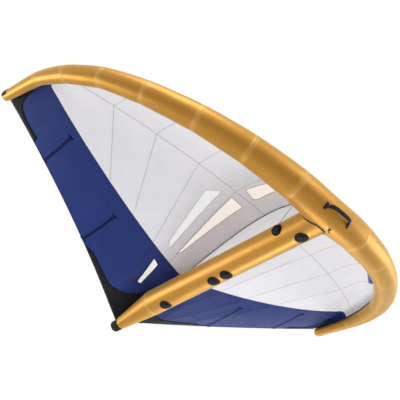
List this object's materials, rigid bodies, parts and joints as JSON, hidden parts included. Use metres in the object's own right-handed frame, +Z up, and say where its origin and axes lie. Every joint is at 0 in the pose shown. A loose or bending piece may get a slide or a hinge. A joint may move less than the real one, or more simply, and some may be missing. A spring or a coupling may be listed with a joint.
{
  "type": "inflatable foiling wing",
  "caption": "Hand-held inflatable wing with a curved leading-edge tube, a central strut, a cambered cloth canopy with clear windows, handle plates and a grab strap.",
  "frame": {"origin": "centre of the flat face of the second handle plate, on the underside of the strut, where the wing is held", "axes": "+X to the port tip, +Y back along the strut to the trailing edge, +Z up through the canopy"},
  "size_m": [3.3462, 2.1549, 0.8216],
  "materials": {
    "gold_cloth": "satin coated cloth",
    "bladder_film": "translucent film",
    "web_cloth": "coated cloth",
    "black_cap": "matte moulded",
    "black_piping": "woven tape",
    "black_webbing": "woven webbing",
    "black_plastic": "moulded",
    "valve_pin_plastic": "moulded",
    "pale_cloth": "thin coated canopy cloth",
    "blue_cloth": "thin coated canopy cloth",
    "dark_blue_cloth": "coated cloth",
    "batten_rod": "fibre-reinforced strip",
    "black_patch": "heavy coated cloth",
    "clear_film": "clear film",
    "cream_film": "clear film"
  },
  "bodies": {
    "wing": {"air_transfer_hose": "bladder_film", "batten_1_port": "batten_rod", "batten_1_starboard": "batten_rod", "batten_2_port": "batten_rod", "batten_2_starboard": "batten_rod", "batten_pocket_1_port": "dark_blue_cloth", "batten_pocket_1_starboard": "dark_blue_cloth", "batten_pocket_2_port": "dark_blue_cloth", "batten_pocket_2_starboard": "dark_blue_cloth", "canopy_front_strip_port": "pale_cloth", "canopy_front_strip_starboard": "pale_cloth", "canopy_panel_1_port": "pale_cloth", "canopy_panel_1_starboard": "pale_cloth", "canopy_panel_2_port": "pale_cloth", "canopy_panel_2_starboard": "pale_cloth", "canopy_panel_3_port": "pale_cloth", "canopy_panel_3_starboard": "pale_cloth", "canopy_panel_4_port": "pale_cloth", "canopy_panel_4_starboard": "pale_cloth", "canopy_panel_5_port": "pale_cloth", "canopy_panel_5_starboard": "pale_cloth", "canopy_trailing_band_port": "blue_cloth", "canopy_trailing_band_starboard": "blue_cloth", "edge_tab_port": "blue_cloth", "edge_tab_starboard": "blue_cloth", "front_handle_tab_port": "black_webbing", "front_handle_tab_starboard": "black_webbing", "handle_plate_1": "black_plastic", "handle_plate_2": "black_plastic", "handle_plate_3": "black_plastic", "handle_plate_4": "black_plastic", "junction_piping": "black_piping", "leading_edge_bladder": "bladder_film", "leading_edge_sleeve": "gold_cloth", "leash_tab": "black_webbing", "profile_web": "web_cloth", "strut_bladder": "bladder_film", "strut_end_cap": "black_cap", "strut_sleeve": "gold_cloth", "tail_patch_port": "black_patch", "tail_patch_starboard": "black_patch", "tip_cap_port": "black_cap", "tip_cap_starboard": "black_cap", "tip_patch_port": "black_patch", "tip_patch_starboard": "black_patch", "valve_seat": "black_plastic", "window_front_port": "cream_film", "window_front_starboard": "cream_film", "window_inner_port": "cream_film", "window_inner_starboard": "cream_film", "window_outer_port": "clear_film", "window_outer_starboard": "clear_film", "window_rear_port": "clear_film", "window_rear_starboard": "clear_film"},
    "grab_strap": {"front_handle": "black_webbing"},
    "leash_ring": {"leash_loop": "black_webbing"},
    "valve_core": {"valve_core": "black_plastic"},
    "valve_pin": {"valve_pin": "valve_pin_plastic"},
    "valve_cap": {"valve_cap": "black_plastic"}
  },
  "joints": [
    {"name": "grab_strap_swing", "type": "hinge", "parent": "wing", "child": "grab_strap", "pos_m": [0, -0.92267, 0.04601], "axis": [1, 0, 0], "range_deg": [-60, 60], "stiffness_Nm_per_rad": 0.3},
    {"name": "leash_ring_swing", "type": "hinge", "parent": "wing", "child": "leash_ring", "pos_m": [0.03048, -0.82949, 0.00345], "axis": [0.9934, 0.0493, 0.1038], "range_deg": [-75, 75]},
    {"name": "valve_core_twist", "type": "hinge", "parent": "wing", "child": "valve_core", "pos_m": [-0.08863, -0.511, 0.08237], "axis": [-0.9848, 0, -0.1736], "range_deg": [0, 60]},
    {"name": "valve_pin_press", "type": "slide", "parent": "valve_core", "child": "valve_pin", "axis": [0.9848, 0, 0.1736], "range_m": [0, 0.004], "stiffness_N_per_m": 200, "springref_m": -0.004},
    {"name": "valve_cap_flip", "type": "hinge", "parent": "wing", "child": "valve_cap", "pos_m": [-0.0975, -0.5406, 0.08081], "axis": [-0.1736, 0, 0.9848], "range_deg": [0, 150]}
  ]
}
